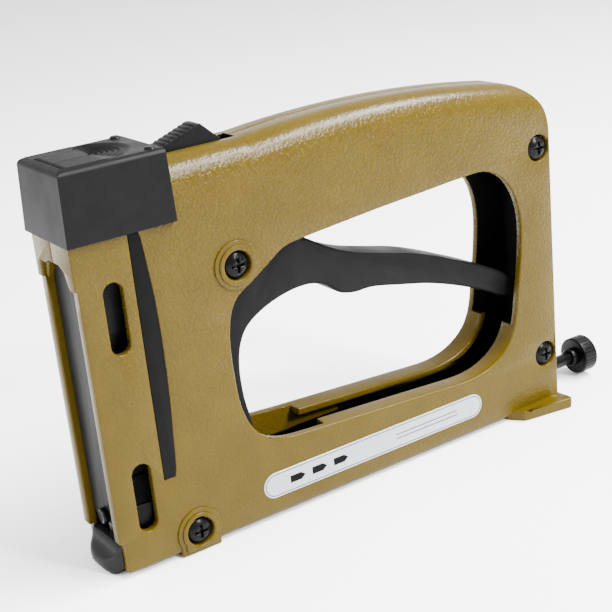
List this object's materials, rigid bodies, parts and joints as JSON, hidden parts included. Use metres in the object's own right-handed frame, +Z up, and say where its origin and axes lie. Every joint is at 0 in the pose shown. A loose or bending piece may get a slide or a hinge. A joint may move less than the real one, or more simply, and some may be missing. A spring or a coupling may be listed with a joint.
{
  "type": "staple gun",
  "caption": "Manual point driver in staple gun form with a hollow handle, squeeze trigger, front driver tower and a spring-fed magazine in the base.",
  "frame": {"origin": "centre of the bounding box on the plane that the pads and feet rest on", "axes": "+X from the driver tower to the pull knob at the rear, +Y to the right-hand half, +Z up; Y = 0 is the parting plane of the two halves"},
  "size_m": [0.221, 0.0432, 0.1362],
  "materials": {
    "body_paint": "glossy hammertone with an orange-peel relief",
    "black_plastic": "satin moulded plastic",
    "trigger_black": "matte powder coat",
    "plunger_black": "blackened steel",
    "nose_black": "satin black cast steel",
    "bright_steel": "ground",
    "lever_steel": "stamped",
    "spring_steel": "drawn wire",
    "plate_steel": "blued sheet",
    "guide_steel": "bright zinc plated",
    "nail_steel": "bright stamped",
    "rubber_black": "moulded",
    "screw_black": "black oxide",
    "label_silver": "satin foil",
    "inlay_black": "satin"
  },
  "bodies": {
    "housing": {"left_housing": "body_paint", "right_housing": "body_paint", "top_cap": "black_plastic", "trigger_bush": "bright_steel", "lift_lever_pin": "bright_steel", "lever_spring": "spring_steel", "power_spring": "spring_steel", "spring_seat": "lever_steel", "bumper": "rubber_black", "front_plate": "plate_steel", "plate_rivet": "plate_steel", "nose_piece": "nose_black", "nose_guide": "guide_steel", "magazine_channel": "guide_steel", "nail_strip": "nail_steel", "rod_guide": "lever_steel", "case_screws": "screw_black", "case_nuts": "lever_steel", "side_labels": "label_silver", "stripe_inlays": "inlay_black"},
    "trigger": {"trigger": "trigger_black", "lift_roller": "bright_steel", "lift_roller_pin": "bright_steel"},
    "lever": {"lift_lever": "lever_steel"},
    "hammer": {"plunger": "plunger_black", "driver_blade": "bright_steel"},
    "feeder": {"pusher": "plunger_black", "pusher_rod": "screw_black", "pusher_spring": "spring_steel", "pull_knob": "screw_black"},
    "selector": {"power_slide": "black_plastic"}
  },
  "joints": [
    {"name": "trigger_pivot", "type": "hinge", "parent": "housing", "child": "trigger", "pos_m": [-0.053, 0, 0.092], "axis": [0, -1, 0], "range_deg": [0, 16], "stiffness_Nm_per_rad": 4},
    {"name": "lever_pivot", "type": "hinge", "parent": "housing", "child": "lever", "pos_m": [0.0175, 0, 0.113], "axis": [0, -1, 0], "range_deg": [-8.8, 0], "deforming": ["lever_spring"]},
    {"name": "plunger_slide", "type": "slide", "parent": "housing", "child": "hammer", "axis": [0, 0, 1], "range_m": [0, 0.01731], "deforming": ["power_spring"]},
    {"name": "pusher_pull", "type": "slide", "parent": "housing", "child": "feeder", "axis": [1, 0, 0], "range_m": [0, 0.09], "stiffness_N_per_m": 30, "deforming": ["pusher_spring"]},
    {"name": "power_select", "type": "slide", "parent": "housing", "child": "selector", "axis": [1, 0, 0], "range_m": [0, 0.0045]}
  ],
  "couplings": [
    {"joint": "lever_pivot", "follows": "trigger_pivot", "ratio": -0.55},
    {"joint": "plunger_slide", "follows": "trigger_pivot", "m_per_rad": 0.062}
  ]
}
